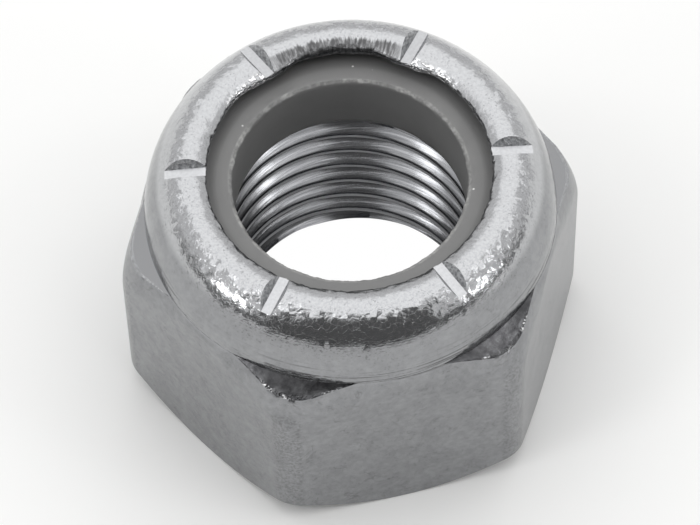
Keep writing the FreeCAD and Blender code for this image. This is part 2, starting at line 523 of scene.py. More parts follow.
def hexagon_radius(tree, azimuth, flat_radius, corner_radius):
    """The rounded hexagon's radius at an azimuth: a flat, or the arc of a corner."""
    sixth = math.pi / 3
    near = add_node(
        tree, "ShaderNodeMath", {0: azimuth, 1: sixth / 2, 2: -sixth / 2}, operation="WRAP"
    )[0]
    off = add_node(tree, "ShaderNodeMath", {0: near}, operation="ABSOLUTE")[0]
    to_flat = add_node(tree, "ShaderNodeMath", {0: sixth / 2, 1: off}, operation="SUBTRACT")[0]
    slant = add_node(tree, "ShaderNodeMath", {0: to_flat}, operation="COSINE")[0]
    flat = add_node(tree, "ShaderNodeMath", {0: flat_radius, 1: slant}, operation="DIVIDE")[0]
    # The corner arc's centre lies inwards of the sharp corner by radius / cos 30.
    reach = add_node(
        tree, "ShaderNodeMath", {0: flat_radius, 1: corner_radius}, operation="SUBTRACT"
    )[0]
    centre = add_node(tree, "ShaderNodeMath", {0: reach, 1: math.cos(sixth / 2)}, operation="DIVIDE")[0]
    cosine = add_node(tree, "ShaderNodeMath", {0: off}, operation="COSINE")[0]
    sine = add_node(tree, "ShaderNodeMath", {0: off}, operation="SINE")[0]
    ahead = add_node(tree, "ShaderNodeMath", {0: centre, 1: cosine}, operation="MULTIPLY")[0]
    aside = add_node(tree, "ShaderNodeMath", {0: centre, 1: sine}, operation="MULTIPLY")[0]
    aside_squared = add_node(tree, "ShaderNodeMath", {0: aside, 1: aside}, operation="MULTIPLY")[0]
    radius_squared = add_node(
        tree, "ShaderNodeMath", {0: corner_radius, 1: corner_radius}, operation="MULTIPLY"
    )[0]
    left = add_node(
        tree, "ShaderNodeMath", {0: radius_squared, 1: aside_squared}, operation="SUBTRACT"
    )[0]
    positive = add_node(tree, "ShaderNodeMath", {0: left, 1: 0.0}, operation="MAXIMUM")[0]
    rise = add_node(tree, "ShaderNodeMath", {0: positive}, operation="SQRT")[0]
    corner = add_node(tree, "ShaderNodeMath", {0: ahead, 1: rise}, operation="ADD")[0]
    # The arc holds while its tangent point, at radius / 2 to the side, isn't passed.
    half = add_node(tree, "ShaderNodeMath", {0: corner_radius, 1: 0.5}, operation="MULTIPLY")[0]
    across = add_node(tree, "ShaderNodeMath", {0: corner, 1: sine}, operation="MULTIPLY")[0]
    on_corner = add_node(
        tree, "FunctionNodeCompare", {0: across, 1: half}, data_type="FLOAT", operation="LESS_THAN"
    )[0]
    return add_node(
        tree,
        "GeometryNodeSwitch",
        {"Switch": on_corner, "False": flat, "True": corner},
        input_type="FLOAT",
    )[0]


def climbing_place(tree, place, azimuth, pull, sizes):
    """The place of a row that belongs to the thread, as far as its pull says so.

    Such a row climbs by one pitch in a turn. It stops at the mouth and at the ring's seat, and
    nowhere stands further in than the countersink and the lead-out.
    """
    own = add_node(tree, "ShaderNodeSeparateXYZ", {0: place})
    pitches = add_node(tree, "ShaderNodeMath", {0: azimuth, 1: FULL_TURN}, operation="DIVIDE")[0]
    climbed = add_node(
        tree, "ShaderNodeMath", {0: pitches, 1: sizes["Pitch"], 2: own[2]}, operation="MULTIPLY_ADD"
    )[0]
    held = add_node(
        tree, "ShaderNodeClamp", {"Value": climbed, "Min": 0.0, "Max": sizes["Ring Seat"]}
    )[0]
    opening = add_node(
        tree,
        "ShaderNodeMath",
        {0: held, 1: sizes["Countersink Slope"], 2: sizes["Mouth Radius"]},
        operation="MULTIPLY_ADD",
    )[0]
    under_seat = add_node(
        tree, "ShaderNodeMath", {0: held, 1: sizes["Ring Seat"]}, operation="SUBTRACT"
    )[0]
    lead_out = add_node(
        tree,
        "ShaderNodeMath",
        {0: under_seat, 1: sizes["Lead-out Slope"], 2: sizes["Major Radius"]},
        operation="MULTIPLY_ADD",
    )[0]
    widest = add_node(tree, "ShaderNodeMath", {0: own[0], 1: opening}, operation="MAXIMUM")[0]
    widest = add_node(tree, "ShaderNodeMath", {0: widest, 1: lead_out}, operation="MAXIMUM")[0]
    cut_place = add_node(tree, "ShaderNodeCombineXYZ", {0: widest, 2: held})[0]
    return add_node(
        tree, "ShaderNodeMix", {"Factor": pull, 4: place, 5: cut_place}, data_type="VECTOR"
    )[1]


def skirt_guides(tree, azimuth, sizes):
    """Guide points as (radius, 0, height), each a rule of the hexagon's radius.

    The corners are blunter at the shoulder, so the rim of the cone stands back from them.
    """
    radius = hexagon_radius(tree, azimuth, sizes["Flat Radius"], sizes["Corner Radius"])
    blunt = hexagon_radius(tree, azimuth, sizes["Flat Radius"], sizes["Top Corner Radius"])
    above = add_node(
        tree, "ShaderNodeMath", {0: radius, 1: sizes["Bearing Radius"]}, operation="SUBTRACT"
    )[0]
    chamfer_edge = add_node(tree, "ShaderNodeCombineXYZ", {0: radius, 2: above})[0]
    drawn_in = add_node(
        tree, "ShaderNodeMath", {0: blunt, 1: sizes["Shoulder Roll"]}, operation="SUBTRACT"
    )[0]
    # Where the rim would come inside the collar there is no facet, only a hair of it.
    hair = 0.004 * MM
    least = add_node(
        tree, "ShaderNodeMath", {0: sizes["Collar Radius"], 1: hair}, operation="ADD"
    )[0]
    rim_radius = add_node(tree, "ShaderNodeMath", {0: drawn_in, 1: least}, operation="MAXIMUM")[0]
    setback = add_node(tree, "ShaderNodeMath", {0: radius, 1: rim_radius}, operation="SUBTRACT")[0]
    beyond = add_node(
        tree, "ShaderNodeMath", {0: rim_radius, 1: sizes["Collar Radius"]}, operation="SUBTRACT"
    )[0]
    slope = add_node(tree, "ShaderNodeMath", {0: sizes["Shoulder Angle"]}, operation="TANGENT")[0]
    drop = add_node(tree, "ShaderNodeMath", {0: beyond, 1: slope}, operation="MULTIPLY")[0]
    rim_height = add_node(
        tree, "ShaderNodeMath", {0: sizes["Hexagon Height"], 1: drop}, operation="SUBTRACT"
    )[0]
    rim_edge = add_node(tree, "ShaderNodeCombineXYZ", {0: rim_radius, 2: rim_height})[0]
    # Under the rim the corner leans by the roll angle and comes upright on an even curve.
    lean = add_node(tree, "ShaderNodeMath", {0: sizes["Roll Angle"]}, operation="TANGENT")[0]
    fall = add_node(tree, "ShaderNodeMath", {0: setback, 1: lean}, operation="DIVIDE")[0]
    below = add_node(tree, "ShaderNodeMath", {0: rim_height, 1: fall}, operation="SUBTRACT")[0]
    shoulder_edge = add_node(tree, "ShaderNodeCombineXYZ", {0: radius, 2: below})[0]
    lower = add_node(tree, "ShaderNodeMath", {0: below, 1: fall}, operation="SUBTRACT")[0]
    flat_top = add_node(tree, "ShaderNodeCombineXYZ", {0: radius, 2: lower})[0]
    return dict(zip(GUIDES, (chamfer_edge, flat_top, shoulder_edge, rim_edge)))


def mark_blades(tree, places, sizes, material):
    """One flared blade, repeated at the mark places, which carry their azimuth."""
    blade = add_node(
        tree,
        "GeometryNodeMeshCube",
        {
            "Size": add_node(
                tree,
                "ShaderNodeCombineXYZ",
                {0: sizes["Mark Length"], 1: sizes["Mark Width"], 2: sizes["Mark Rise"]},
            )[0]
        },
    )[0]
    own = add_node(tree, "GeometryNodeInputPosition")[0]
    own_parts = add_node(tree, "ShaderNodeSeparateXYZ", {0: own})
    side = add_node(tree, "ShaderNodeMath", {0: own_parts[1]}, operation="SIGN")[0]
    top = add_node(tree, "FunctionNodeCompare", {0: own_parts[2], 1: 0.0}, operation="GREATER_THAN")[0]
    flare = add_node(
        tree,
        "ShaderNodeMath",
        {
            0: add_node(tree, "ShaderNodeMath", {0: sizes["Mark Flare"]}, operation="TANGENT")[0],
            1: sizes["Mark Rise"],
        },
        operation="MULTIPLY",
    )[0]
    widened = add_node(tree, "ShaderNodeMath", {0: side, 1: flare}, operation="MULTIPLY")[0]
    blade = add_node(
        tree,
        "GeometryNodeSetPosition",
        {
            "Geometry": blade,
            "Selection": top,
            "Offset": add_node(tree, "ShaderNodeCombineXYZ", {1: widened})[0],
        },
    )[0]
    around_z = add_node(
        tree, "GeometryNodeInputNamedAttribute", {"Name": "azimuth"}, data_type="FLOAT"
    )[0]
    blades = add_node(
        tree,
        "GeometryNodeInstanceOnPoints",
        {
            "Points": places,
            "Instance": blade,
            "Rotation": add_node(tree, "ShaderNodeCombineXYZ", {1: sizes["Mark Fall"], 2: around_z})[0],
        },
    )[0]
    blades = add_node(tree, "GeometryNodeRealizeInstances", {"Geometry": blades})[0]
    blades = add_node(
        tree, "GeometryNodeSetMaterial", {"Geometry": blades, "Material": material}
    )[0]
    return add_node(
        tree,
        "GeometryNodeStoreNamedAttribute",
        {"Geometry": blades, "Name": "struck", "Value": 1.0},
        data_type="FLOAT",
        domain="FACE",
    )[0]


def body_tree(inputs, materials):
    """Turns the section, pulls its skirt out to the hexagon, roughs it up and cuts it."""
    tree, sizes = new_geometry_tree("Nut Body", inputs)
    parts = add_node(
        tree,
        "GeometryNodeSeparateGeometry",
        {
            "Geometry": sizes["Geometry"],
            "Selection": add_node(
                tree, "GeometryNodeInputNamedAttribute", {"Name": "place"}, data_type="BOOLEAN"
            )[0],
        },
        domain="POINT",
    )
    mark_places, section = parts[0], parts[1]
    bulge_places = add_node(
        tree,
        "GeometryNodeSeparateGeometry",
        {
            "Geometry": mark_places,
            "Selection": add_node(
                tree, "GeometryNodeInputNamedAttribute", {"Name": "bulging"}, data_type="BOOLEAN"
            )[0],
        },
        domain="POINT",
    )[0]
    grid, place, azimuth, pulls = turn_tree(
        tree, section, sizes["Segments"], sizes["Rows"], GUIDES + BANDS
    )

    place = climbing_place(tree, place, azimuth, pulls["thread"], sizes)
    for label, guide in skirt_guides(tree, azimuth, sizes).items():
        pulled = add_node(
            tree, "ShaderNodeVectorMath", {0: guide, "Scale": pulls[label]}, operation="SCALE"
        )[0]
        place = add_node(tree, "ShaderNodeVectorMath", {0: place, 1: pulled}, operation="ADD")[0]

    # The lip bulges inwards at some of the marks, and its edge wavers.
    around = add_node(
        tree,
        "ShaderNodeVectorRotate",
        {"Vector": place, "Angle": azimuth, "Axis": (0.0, 0.0, 1.0)},
        rotation_type="AXIS_ANGLE",
    )[0]
    nearest = add_node(
        tree,
        "GeometryNodeProximity",
        {"Geometry": bulge_places, "Sample Position": around},
        target_element="POINTS",
    )["Distance"]
    bulging = add_node(
        tree,
        "ShaderNodeMapRange",
        {"Value": nearest, "From Min": 2.0 * MM, "From Max": 0.9 * MM},
        interpolation_type="SMOOTHSTEP",
    )[0]
    coarse, fine = (
        add_node(
            tree,
            "ShaderNodeTexNoise",
            {"Vector": around, "Scale": 1 / width, "Detail": detail, "Roughness": roughness},
        )["Fac"]
        for width, detail, roughness in ((1.1 * MM, 3.0, 0.6), (0.3 * MM, 2.0, 0.55))
    )
    waver = add_node(
        tree,
        "ShaderNodeMath",
        {0: add_node(tree, "ShaderNodeMath", {0: coarse, 1: fine}, operation="ADD")[0], 1: 1.0},
        operation="SUBTRACT",
    )[0]
    wavering = add_node(
        tree, "ShaderNodeMath", {0: waver, 1: sizes["Lip Waver"]}, operation="MULTIPLY"
    )[0]
    inwards = add_node(
        tree, "ShaderNodeMath", {0: bulging, 1: sizes["Lip Bulge"]}, operation="MULTIPLY"
    )[0]
    shift = add_node(tree, "ShaderNodeMath", {0: wavering, 1: inwards}, operation="SUBTRACT")[0]
    lip_shift = add_node(tree, "ShaderNodeMath", {0: shift, 1: pulls["lip"]}, operation="MULTIPLY")[0]
    # The shoulder facets end in a ragged rim.
    burr = add_node(
        tree,
        "ShaderNodeMath",
        {
            0: add_node(
                tree, "ShaderNodeMapRange", {"Value": fine, "From Min": 0.44, "From Max": 0.66}
            )[0],
            1: sizes["Rim Burr"],
        },
        operation="MULTIPLY",
    )[0]
    rim_rise = add_node(tree, "ShaderNodeMath", {0: burr, 1: pulls["rim"]}, operation="MULTIPLY")[0]
    # The lip moves outwards and inwards, the rim up.
    for axis, shift in ((0, lip_shift), (2, rim_rise)):
        moved = add_node(tree, "ShaderNodeCombineXYZ", {axis: shift})[0]
        place = add_node(tree, "ShaderNodeVectorMath", {0: place, 1: moved}, operation="ADD")[0]
    for label in ("crown", "rim", "thread", "facet"):
        grid = add_node(
            tree,
            "GeometryNodeStoreNamedAttribute",
            {"Geometry": grid, "Name": label, "Value": pulls[label]},
            data_type="FLOAT",
            domain="POINT",
        )[0]
    body = swept(tree, grid, place, azimuth)
    # A face belongs to the thread or to a shoulder facet where all its corners do.
    for label, name in (("thread", "tapped"), ("facet", "pressed")):
        body = add_node(
            tree,
            "GeometryNodeStoreNamedAttribute",
            {
                "Geometry": body,
                "Name": name,
                "Value": add_node(
                    tree, "GeometryNodeInputNamedAttribute", {"Name": label}, data_type="FLOAT"
                )[0],
            },
            data_type="FLOAT",
            domain="FACE",
        )[0]
    body = add_node(
        tree, "GeometryNodeSetMaterial", {"Geometry": body, "Material": materials["zinc"]}
    )[0]

    # Forming left the crown uneven. The pattern stays under this level, so that every dent goes
    # inwards and the size holds.
    level = 0.75
    dent = add_node(
        tree,
        "ShaderNodeMath",
        {
            0: add_node(tree, "ShaderNodeMath", {0: coarse, 1: level}, operation="SUBTRACT")[0],
            1: sizes["Crown Dents"],
        },
        operation="MULTIPLY",
    )[0]
    crown = add_node(tree, "GeometryNodeInputNamedAttribute", {"Name": "crown"}, data_type="FLOAT")[0]

    blades = mark_blades(tree, mark_places, sizes, materials["struck"])
    body = add_node(
        tree,
        "GeometryNodeSetPosition",
        {
            "Geometry": body,
            "Offset": add_node(
                tree,
                "ShaderNodeVectorMath",
                {
                    0: add_node(tree, "GeometryNodeInputNormal")[0],
                    "Scale": add_node(
                        tree, "ShaderNodeMath", {0: dent, 1: crown}, operation="MULTIPLY"
                    )[0],
                },
                operation="SCALE",
            )[0],
        },
    )[0]
    # Edges that bend by less than this angle look smooth.
    sharp_angle = math.radians(32.0)
    cut = add_node(
        tree,
        "GeometryNodeMeshBoolean",
        {"Mesh 1": body, "Mesh 2": blades},
        operation="DIFFERENCE",
        solver="MANIFOLD",
    )[0]
    sharp = add_node(
        tree,
        "FunctionNodeCompare",
        {0: add_node(tree, "GeometryNodeInputMeshEdgeAngle")["Unsigned Angle"], 1: sharp_angle},
        data_type="FLOAT",
        operation="LESS_EQUAL",
    )[0]
    whole = add_node(tree, "GeometryNodeTriangulate", {"Mesh": cut})[0]
    soft_faces = add_node(
        tree, "GeometryNodeSetShadeSmooth", {"Geometry": whole, "Shade Smooth": True}, domain="FACE"
    )[0]
    shaded = add_node(
        tree,
        "GeometryNodeSetShadeSmooth",
        {"Geometry": soft_faces, "Shade Smooth": sharp},
        domain="EDGE",
    )[0]
    parts = {label: materials[label] for label in ("tapped", "pressed", "struck")}
    finish_tree(tree, shaded, materials["zinc"], parts)
    return tree


# Materials


def new_material(name):
    material = bpy.data.materials.new(name)
    material.use_nodes = True
    tree = material.node_tree
    tree.nodes.clear()
    return material, tree


def finish_surface(tree, shade, roughness, layers, **inputs):
    """The shader over a stack of bumps, each a pattern with its depth and its strength."""
    bump = {}
    for pattern, depth, strength in layers:
        links = {"Height": pattern, "Distance": depth, "Strength": strength, **bump}
        bump = {"Normal": add_node(tree, "ShaderNodeBump", links)[0]}
    links = {"Base Color": shade, "Roughness": roughness, **inputs, **bump}
    shader = add_node(tree, "ShaderNodeBsdfPrincipled", links)[0]
    add_node(tree, "ShaderNodeOutputMaterial", {"Surface": shader})


def cylinder_places(tree):
    """Object coordinates as a place, a reach from the axis, a height and an azimuth."""
    place = add_node(tree, "ShaderNodeTexCoord")["Object"]
    parts = add_node(tree, "ShaderNodeSeparateXYZ", {0: place})
    level = add_node(tree, "ShaderNodeCombineXYZ", {0: parts[0], 1: parts[1]})[0]
    reach = add_node(tree, "ShaderNodeVectorMath", {0: level}, operation="LENGTH")["Value"]
    azimuth = add_node(tree, "ShaderNodeMath", {0: parts[1], 1: parts[0]}, operation="ARCTAN2")[0]
    return place, reach, parts[2], azimuth


def zinc_plate(finishes, at):
    """Zinc plate on cold formed steel: dull and scuffed on the flats and crumpled above, with painted
    light: a lighter tone on the crown, painted shade on the lip's slope between two marks and painted
    glints on the lip's edge.
    """
    material, tree = new_material("zinc_plated_cold_formed_steel")
    place, reach, height, azimuth = cylinder_places(tree)
    shoulder = at["hexagon_height"]
    ridge, crown_line = at["crown_centre"]

    # Drawing left fine lines round the collar: their pattern is stretched along the circle. The strokes
    # of painted shade torn across the lip are laid out by azimuth and height.
    stretch = (1 / (5 * MM), 1 / (5 * MM), 1 / (0.07 * MM))
    stretched = add_node(tree, "ShaderNodeMapping", {"Vector": place, "Scale": stretch})[0]
    around_lip, up_lip = (
        add_node(tree, "ShaderNodeMath", {0: value, 1: scale}, operation="MULTIPLY")[0]
        for value, scale in ((azimuth, at["lip_face"] / (0.12 * MM)), (height, 1 / (0.22 * MM)))
    )
    fan = add_node(tree, "ShaderNodeCombineXYZ", {0: around_lip, 1: up_lip})[0]
    # Patterns: where they lie, how wide their cells are, detail, roughness and distortion.
    patterns = {
        "crumple": (place, 0.34 * MM, 1.5, 0.5, 0.8),
        "grain": (place, 0.075 * MM, 3.0, 0.5, 0.0),
        "cloud": (place, 1.3 * MM, 5.0, 0.7, 0.0),
        "specks": (place, 0.11 * MM, 2.0, 0.5, 0.0),
        "mottle": (place, 0.3 * MM, 2.0, 0.5, 0.0),
        "scribble": (place, 0.13 * MM, 2.0, 0.5, 0.5),
        "broad": (place, 1.6 * MM, 4.0, 0.5, 0.6),
        "hairline_gaps": (place, 0.9 * MM, 3.0, 0.5, 0.0),
        "corners": (place, 0.12 * MM, 2.0, 0.5, 0.0),
        "painted_glints": (place, 0.16 * MM, 1.0, 0.5, 0.0),
        "lines": (stretched, 1.0, 2.0, 0.5, 0.0),
        "torn": (fan, 1.0, 4.0, 0.65, 0.0),
    }
    noise = {}
    for label, (vector, width, detail, roughness, distortion) in patterns.items():
        links = {"Vector": vector, "Scale": 1 / width, "Detail": detail}
        links.update({"Roughness": roughness, "Distortion": distortion})
        noise[label] = add_node(tree, "ShaderNodeTexNoise", links)["Fac"]
    # Each shard of crumpled plate is level in itself and tilts its own way: its height runs along
    # a random line.
    shards = add_node(
        tree, "ShaderNodeTexVoronoi", {"Vector": place, "Scale": 1 / (0.3 * MM)}, feature="F1"
    )
    within, leaning = (
        add_node(tree, "ShaderNodeVectorMath", {0: first, 1: second}, operation="SUBTRACT")[0]
        for first, second in ((place, shards["Position"]), (shards["Color"], (0.5, 0.5, 0.5)))
    )
    tilt = add_node(
        tree, "ShaderNodeVectorMath", {0: within, 1: leaning}, operation="DOT_PRODUCT"
    )["Value"]

    # How far a point is from the nearest corner of the hexagon, from the middle between the two
    # bulges of the lip, and from a level line of the broad pattern, all without a sign.
    middle = math.radians(sum(BULGED_MARKS) / 2)
    half = math.radians(BULGED_MARKS[1] - BULGED_MARKS[0]) / 2
    near_corner, aside, off_line = (
        add_node(
            tree,
            "ShaderNodeMath",
            {0: add_node(tree, "ShaderNodeMath", links, operation=operation)[0]},
            operation="ABSOLUTE",
        )[0]
        for links, operation in (
            ({0: azimuth, 1: math.pi / 6, 2: -math.pi / 6}, "WRAP"),
            ({0: azimuth, 1: middle}, "SUBTRACT"),
            ({0: noise["broad"], 1: 0.5}, "SUBTRACT"),
        )
    )
    # The painted shade between the bulges reaches unevenly far up the slope, by a tenth of a millimetre
    # or two.
    ragged = add_node(
        tree, "ShaderNodeMath", {0: noise["torn"], 1: 0.6 * MM, 2: reach}, operation="MULTIPLY_ADD"
    )[0]
    crown, inner = (
        add_node(
            tree,
            "ShaderNodeMapRange",
            {"Value": value, "From Min": start, "From Max": end},
            interpolation_type="SMOOTHSTEP",
        )[0]
        for value, start, end in (
            (height, crown_line - 0.1 * MM, crown_line + 0.4 * MM),
            (reach, ridge + 0.5 * MM, ridge + 0.1 * MM),
        )
    )
    # Masks: a value, two levels of it, and what the mask is at each of the two.
    levels = {
        "specks": (noise["specks"], 0.6, 0.68, 0.0, 1.0),
        "drifts": (noise["cloud"], 0.42, 0.6, 0.15, 1.0),
        "speck_share": (crown, 0.0, 1.0, 0.4, 0.35),
        "above_foot": (height, shoulder - 0.1 * MM, shoulder + 0.05 * MM, 0.0, 1.0),
        "near_foot": (height, shoulder + 1.4 * MM, shoulder + 0.3 * MM, 0.0, 1.0),
        "scores": (noise["lines"], 0.59, 0.65, 0.0, 1.0),
        "score_gaps": (noise["broad"], 0.4, 0.5, 0.0, 0.9),
        "hairlines": (off_line, 0.014, 0.004, 0.0, 1.0),
        "hairline_gaps": (noise["hairline_gaps"], 0.5, 0.6, 0.0, 1.0),
        "on_flats": (height, shoulder, shoulder - 0.3 * MM, 0.0, 1.0),
        "on_corner": (near_corner, math.radians(4.2), math.radians(3.2), 0.0, 1.0),
        "low_on_corner": (height, shoulder - 1.2 * MM, shoulder - 1.8 * MM, 0.0, 1.0),
        "corners": (noise["corners"], 0.45, 0.62, 0.0, 1.0),
        "torn": (noise["torn"], 0.62, 0.42, 0.55, 1.0),
        "between_bulges": (aside, half, half - 0.12, 0.0, 1.0),
        "ragged": (ragged, ridge + 0.02 * MM, ridge - 0.13 * MM, 0.0, 1.0),
        # Where the painted glints go on the lip's edge.
        "past_bulges": (aside, half, half + 0.04, 0.0, 1.0),
        "beside_bulges": (aside, half + 0.42, half + 0.3, 0.0, 1.0),
        "lip_edge": (reach, ridge - 0.62 * MM, ridge - 0.75 * MM, 0.0, 1.0),
        "painted_glints": (noise["painted_glints"], 0.47, 0.55, 0.0, 1.0),
        "clouds": (noise["cloud"], 0.35, 0.65, 0.7, 1.0),
        "mottle": (noise["mottle"], 0.35, 0.65, -0.15, 0.1),
        "polish": (height, shoulder - 0.2 * MM, shoulder, 1.0, 0.8),
        "scribble": (noise["scribble"], 0.4, 0.7, 0.0, 0.22),
        "crumpled": (height, crown_line + 0.5 * MM, crown_line + 1.08 * MM, 0.13, 0.9),
        "line_depth": (crown, 0.0, 1.0, 0.5, 0.1),
        "satin_below": (height, shoulder, shoulder - 0.2 * MM, 0.13, 0.27),
        "satin_ridge": (height, crown_line + 0.55 * MM, crown_line + 1.1 * MM, 0.0, 0.15),
        "satin_clouds": (noise["cloud"], 0.3, 0.7, 0.6, 1.0),
    }
    mask = {}
    for label, (value, start, end, low, high) in levels.items():
        links = {"Value": value, "From Min": start, "From Max": end, "To Min": low, "To Max": high}
        mask[label] = add_node(tree, "ShaderNodeMapRange", links)[0]

    # The plate is dull below. The crown is painted brighter, with a lighter tone that stands for the
    # overhead softbox's light.
    mask["dull"] = add_node(
        tree, "ShaderNodeMath", {0: mask["clouds"], 1: mask["mottle"]}, operation="ADD", use_clamp=True
    )[0]
    # What lies on the plate, each as the product of its masks.
    products = {
        # Specks are a tenth of a millimetre across and come in drifts.
        "specks": (mask["specks"], mask["drifts"], mask["speck_share"]),
        # The drawn lines are deepest just above the shoulder.
        "scores": (mask["above_foot"], mask["near_foot"], mask["scores"], mask["score_gaps"]),
        # Handling left hairlines, drawn by the level lines of a broad pattern.
        "hairlines": (mask["hairlines"], mask["hairline_gaps"], mask["on_flats"], 0.38),
        # The upright corners are rough where the bar's rolled faces met.
        "corners": (mask["on_corner"], mask["low_on_corner"], mask["corners"], 0.45),
        # Between two of the marks the lip's inner slope, which faces the camera, is painted dark as
        # shade, torn in strokes across it.
        "painted_shade_strokes": (mask["torn"], mask["between_bulges"], mask["ragged"], crown),
        # Beside these marks the lip's edge is drawn up into beads, which are painted near white as
        # glints.
        "painted_glints": (mask["past_bulges"], mask["beside_bulges"], mask["lip_edge"], crown, mask["painted_glints"]),
        "dull_below": (mask["dull"], mask["polish"]),
        "satin": (mask["satin_ridge"], mask["satin_clouds"]),
        "shards": (tilt, 1 / MM),
    }
    product = {}
    for label, (first, *others) in products.items():
        for other in others:
            first = add_node(tree, "ShaderNodeMath", {0: first, 1: other}, operation="MULTIPLY")[0]
        product[label] = first
    # The dark marks: specks, hairlines, scores and rough corners, and the painted shade strokes on the
    # lip.
    dark = product["specks"]
    for label in ("hairlines", "scores", "painted_shade_strokes", "corners"):
        dark = add_node(tree, "ShaderNodeMath", {0: dark, 1: product[label]}, operation="MAXIMUM")[0]

    # The plate's tone below, dull in clouds, and the crown's lighter tone, which is painted light.
    shade, shade_above = (
        add_node(
            tree,
            "ShaderNodeMix",
            {"Factor": factor, "A": tuple(bright), "B": tuple(finishes.zinc_worn)},
            data_type="RGBA",
        )[2]
        for factor, bright in (
            (product["dull_below"], finishes.zinc),
            (mask["scribble"], finishes.crown),
        )
    )
    # Laid over it: the crown's painted light, the dark marks with their painted shade, and the painted
    # glints.
    for factor, over in (
        (crown, shade_above),
        (dark, tuple(finishes.pits_and_shade)),
        (product["painted_glints"], tuple(finishes.painted_glint)),
    ):
        links = {"Factor": factor, "A": shade, "B": over}
        shade = add_node(tree, "ShaderNodeMix", links, data_type="RGBA")[2]
    crumpled = add_node(
        tree, "ShaderNodeMix", {"Factor": inner, "A": mask["crumpled"], "B": 0.2}, data_type="FLOAT"
    )[0]
    # The dies polished the collar and the crown's outer slope; the flats and the ridge are satin.
    satin = add_node(
        tree, "ShaderNodeMath", {0: mask["satin_below"], 1: product["satin"]}, operation="ADD"
    )[0]
    # The bumps: drawn lines, the plate's own fine grain, facets that forming crumpled into it, what is
    # dark as shallow pits, the painted shade included, and the beads under the painted glints.
    layers = (
        (noise["lines"], 0.006 * MM, mask["line_depth"]),
        (noise["grain"], 0.009 * MM, 0.4),
        (noise["crumple"], 0.05 * MM, crumpled),
        (product["shards"], 0.34 * MM, crumpled),
        (dark, -0.012 * MM, 0.6),
        (product["painted_glints"], 0.05 * MM, 0.8),
    )
    finish_surface(tree, shade, satin, layers, Metallic=1.0)
    return material


def tapped_zinc(finishes):
    """Zinc plate on a tapped thread: thin, polished and drawn out along the turns."""
    material, tree = new_material("zinc_plated_tapped_thread")
    place = add_node(tree, "ShaderNodeTexCoord")["Object"]
    # Chatter is under a tenth of a millimetre wide and runs a long way round.
    stretch = (1 / (2.2 * MM), 1 / (2.2 * MM), 1 / (0.06 * MM))
    stretched = add_node(tree, "ShaderNodeMapping", {"Vector": place, "Scale": stretch})[0]
    chatter, patches = (
        add_node(
            tree,
            "ShaderNodeTexNoise",
            {"Vector": vector, "Scale": 1 / width, "Detail": detail, "Roughness": roughness},
        )["Fac"]
        for vector, width, detail, roughness in (
            (stretched, 1.0, 3.0, 0.5),
            (place, 0.5 * MM, 4.0, 0.6),
        )
    )
    worn = add_node(
        tree, "ShaderNodeMapRange", {"Value": chatter, "From Min": 0.35, "From Max": 0.7}
    )[0]
    links = {"Factor": worn, "A": tuple(finishes.thread), "B": tuple(finishes.thread_worn)}
    shade = add_node(tree, "ShaderNodeMix", links, data_type="RGBA")[2]
    layers = ((chatter, 0.01 * MM, 0.7), (patches, 0.02 * MM, 0.2))
    finish_surface(tree, shade, 0.19, layers, Metallic=1.0)
    return material


def pressed_zinc(finishes):
    """Zinc plate on the shoulder facets, painted dark as shade on the -Y side, with a ragged rim
    painted bright there as glints.
    """
    material, tree = new_material("zinc_plated_pressed_facet")
    place = add_node(tree, "ShaderNodeTexCoord")["Object"]
    aside = add_node(tree, "ShaderNodeSeparateXYZ", {0: place})[1]
    rim = add_node(tree, "ShaderNodeAttribute", attribute_name="rim")["Fac"]
    patches, curls, gaps = (
        add_node(
            tree,
            "ShaderNodeTexNoise",
            {
                "Vector": place,
                "Scale": 1 / width,
                "Detail": detail,
                "Roughness": roughness,
                "Distortion": distortion,
            },
        )["Fac"]
        for width, detail, roughness, distortion in (
            (0.5 * MM, 4.0, 0.6, 0.0),
            (0.16 * MM, 1.0, 0.5, 1.5),
            (1.1 * MM, 1.0, 0.5, 0.0),
        )
    )
    # Masks: a value, two levels of it, and what the mask is at each of the two.
    levels = {
        # Painted light only on the -Y side, which faces the camera: shade on the facets and glints on
        # the rim.
        "painted_light_side": (aside, -5.0 * MM, -6.0 * MM, 0.0, 1.0),
        "patches": (patches, 0.35, 0.65, 1.0, 0.8),
        "rim": (rim, 0.25, 0.5, 0.0, 1.0),
        "curls": (curls, 0.48, 0.54, 0.0, 1.0),
        "gaps": (gaps, 0.44, 0.54, 0.0, 1.0),
        "curl_depth": (rim, 0.1, 0.6, 0.0, 1.0),
    }
    mask = {}
    for label, (value, start, end, low, high) in levels.items():
        links = {"Value": value, "From Min": start, "From Max": end, "To Min": low, "To Max": high}
        mask[label] = add_node(tree, "ShaderNodeMapRange", links)[0]
    # Painted shade on the facets first, then painted glints on the rim.
    shade = tuple(finishes.zinc)
    for over, labels in ((finishes.facet, ("patches",)), (finishes.painted_glint, ("rim", "curls", "gaps"))):
        factor = mask["painted_light_side"]
        for label in labels:
            links = {0: factor, 1: mask[label]}
            factor = add_node(tree, "ShaderNodeMath", links, operation="MULTIPLY")[0]
        links = {"Factor": factor, "A": shade, "B": tuple(over)}
        shade = add_node(tree, "ShaderNodeMix", links, data_type="RGBA")[2]
    layers = ((patches, 0.02 * MM, 0.5), (curls, 0.09 * MM, mask["curl_depth"]))
    finish_surface(tree, shade, 0.2, layers, Metallic=1.0)
    return material


